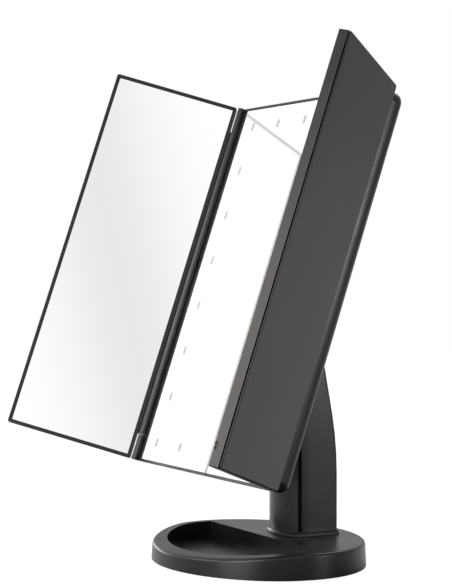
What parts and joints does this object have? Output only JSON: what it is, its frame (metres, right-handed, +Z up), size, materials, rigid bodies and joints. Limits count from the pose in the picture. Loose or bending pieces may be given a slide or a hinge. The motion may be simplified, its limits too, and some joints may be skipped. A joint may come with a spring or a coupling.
{
  "type": "lighted trifold makeup mirror",
  "caption": "Lighted tabletop makeup mirror with a tilting centre panel, two folding mirror wings, a column stand and an oval tray base.",
  "frame": {"origin": "middle of the flat underside that the mirror stands on, below the middle of the oval base", "axes": "+Z up, the mirrors face -Y, +X to the right of somebody who looks at the mirrors from the front"},
  "size_m": [0.2911, 0.1804, 0.3202],
  "materials": {
    "satin_charcoal": "satin moulded ABS, warm charcoal",
    "inner_black": "matte black moulded plastic",
    "mirror_silver": "silvered flat glass",
    "frosted_white": "frosted translucent white plastic",
    "board_green": "printed circuit board with solder mask",
    "steel": "zinc-plated steel",
    "rubber_black": "matte black foam rubber",
    "cell_silver": "plain sleeved cell",
    "contact_nickel": "nickel-plated contact metal"
  },
  "bodies": {
    "base": {"anti_slip_pad": "rubber_black", "base_bottom_plate": "satin_charcoal", "base_shell": "satin_charcoal", "base_ballast": "steel", "base_screw_1": "steel", "base_screw_2": "steel", "base_screw_3": "steel", "base_screw_4": "steel", "column_screw_1": "steel", "column_screw_2": "steel", "column_core": "inner_black", "column_front_cover": "satin_charcoal", "column_rear_cover": "satin_charcoal", "column_collar": "satin_charcoal", "friction_washer_left": "steel", "friction_washer_right": "steel"},
    "head": {"front_frame": "satin_charcoal", "centre_mirror": "mirror_silver", "light_diffuser": "frosted_white", "led_strip_left": "frosted_white", "led_strip_right": "frosted_white", "led_strip_top": "frosted_white", "led_strip_bottom": "frosted_white", "control_board": "board_green", "touch_pad": "contact_nickel", "rear_housing": "satin_charcoal", "battery_cell_1": "cell_silver", "battery_cell_2": "cell_silver", "battery_cell_3": "cell_silver", "battery_cell_4": "cell_silver", "battery_contact_top": "contact_nickel", "battery_contact_bottom": "contact_nickel", "power_switch_body": "inner_black", "power_socket": "contact_nickel", "housing_screw_1": "steel", "housing_screw_2": "steel", "housing_screw_3": "steel", "housing_screw_4": "steel", "pivot_shaft": "steel", "pivot_nut": "steel", "pivot_cap_left": "inner_black", "pivot_cap_right": "inner_black", "hinge_pin_left_top": "steel", "hinge_pin_left_bottom": "steel", "hinge_pin_right_top": "steel", "hinge_pin_right_bottom": "steel"},
    "battery_door": {"battery_door": "satin_charcoal"},
    "power_switch_knob": {"power_switch_knob": "inner_black"},
    "left_wing": {"left_wing_frame": "satin_charcoal", "left_wing_mirror": "mirror_silver", "left_wing_back_cover": "satin_charcoal"},
    "right_wing": {"right_wing_frame": "satin_charcoal", "right_wing_mirror_upper": "mirror_silver", "right_wing_mirror_lower": "mirror_silver", "right_wing_back_cover": "satin_charcoal"}
  },
  "joints": [
    {"name": "head_tilt", "type": "hinge", "parent": "base", "child": "head", "pos_m": [0, 0.0192, 0.1523], "axis": [-1, 0, 0], "range_deg": [-19, 71]},
    {"name": "left_wing_fold", "type": "hinge", "parent": "head", "child": "left_wing", "pos_m": [-0.0901, -0.00244, 0.17667], "axis": [0, 0.3256, 0.9455], "range_deg": [-60, 120]},
    {"name": "right_wing_fold", "type": "hinge", "parent": "head", "child": "right_wing", "pos_m": [0.0901, -0.00244, 0.17667], "axis": [0, -0.3256, -0.9455], "range_deg": [-53, 127]},
    {"name": "power_switch_slide", "type": "slide", "parent": "head", "child": "power_switch_knob", "axis": [0, 0.3256, 0.9455], "range_m": [0, 0.003]},
    {"name": "battery_door_lift", "type": "slide", "parent": "head", "child": "battery_door", "axis": [0, 0.9455, -0.3256], "range_m": [0, 0.012]}
  ]
}
